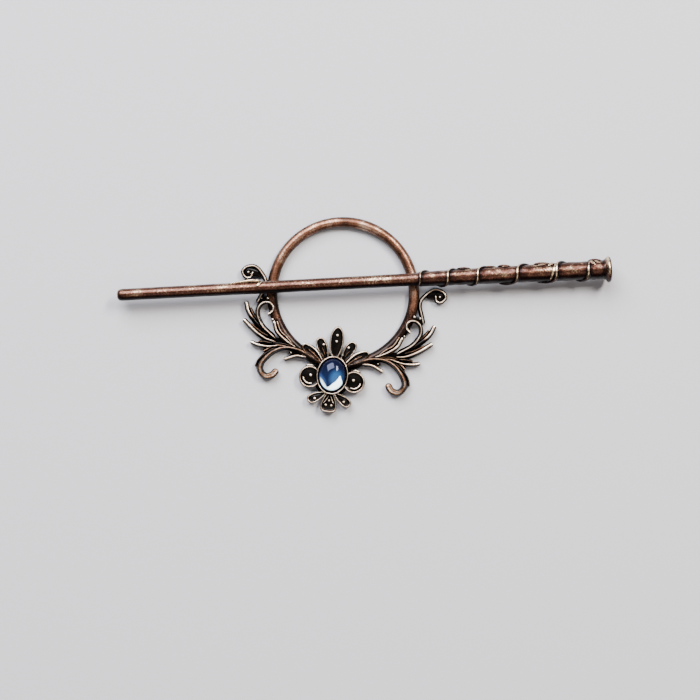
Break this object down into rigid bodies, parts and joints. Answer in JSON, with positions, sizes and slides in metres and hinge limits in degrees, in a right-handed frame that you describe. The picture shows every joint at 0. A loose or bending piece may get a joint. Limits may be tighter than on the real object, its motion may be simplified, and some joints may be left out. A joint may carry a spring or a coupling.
{
  "type": "hair stick with scroll ring",
  "caption": "Hair slide: a cast ring with leafy scroll sprays and a set oval cabochon, and a tapered vine-wrapped stick that slides across it to pin a bun.",
  "frame": {"origin": "centre of the ring on the plane that its flat back rests on", "axes": "+X to the ornament's right, with the stick turned 10.4 degrees from it, +Y away from the cabochon along the ornament's line of symmetry, +Z out of the front towards the viewer"},
  "size_m": [0.1465, 0.0591, 0.0091],
  "materials": {
    "ring_metal": "zinc alloy plated in antique copper, dark in the recesses and rubbed bright on the crests",
    "blue_stone": "polished blue cabochon",
    "stick_metal": "zinc alloy plated in mottled antique copper"
  },
  "bodies": {
    "ring": {"scroll_ring": "ring_metal", "cabochon": "blue_stone"},
    "stick": {"stick": "stick_metal"}
  },
  "joints": [
    {"name": "stick_slide", "type": "slide", "parent": "ring", "child": "stick", "axis": [0.9836, 0.1805, 0], "range_m": [0, 0.1]}
  ]
}
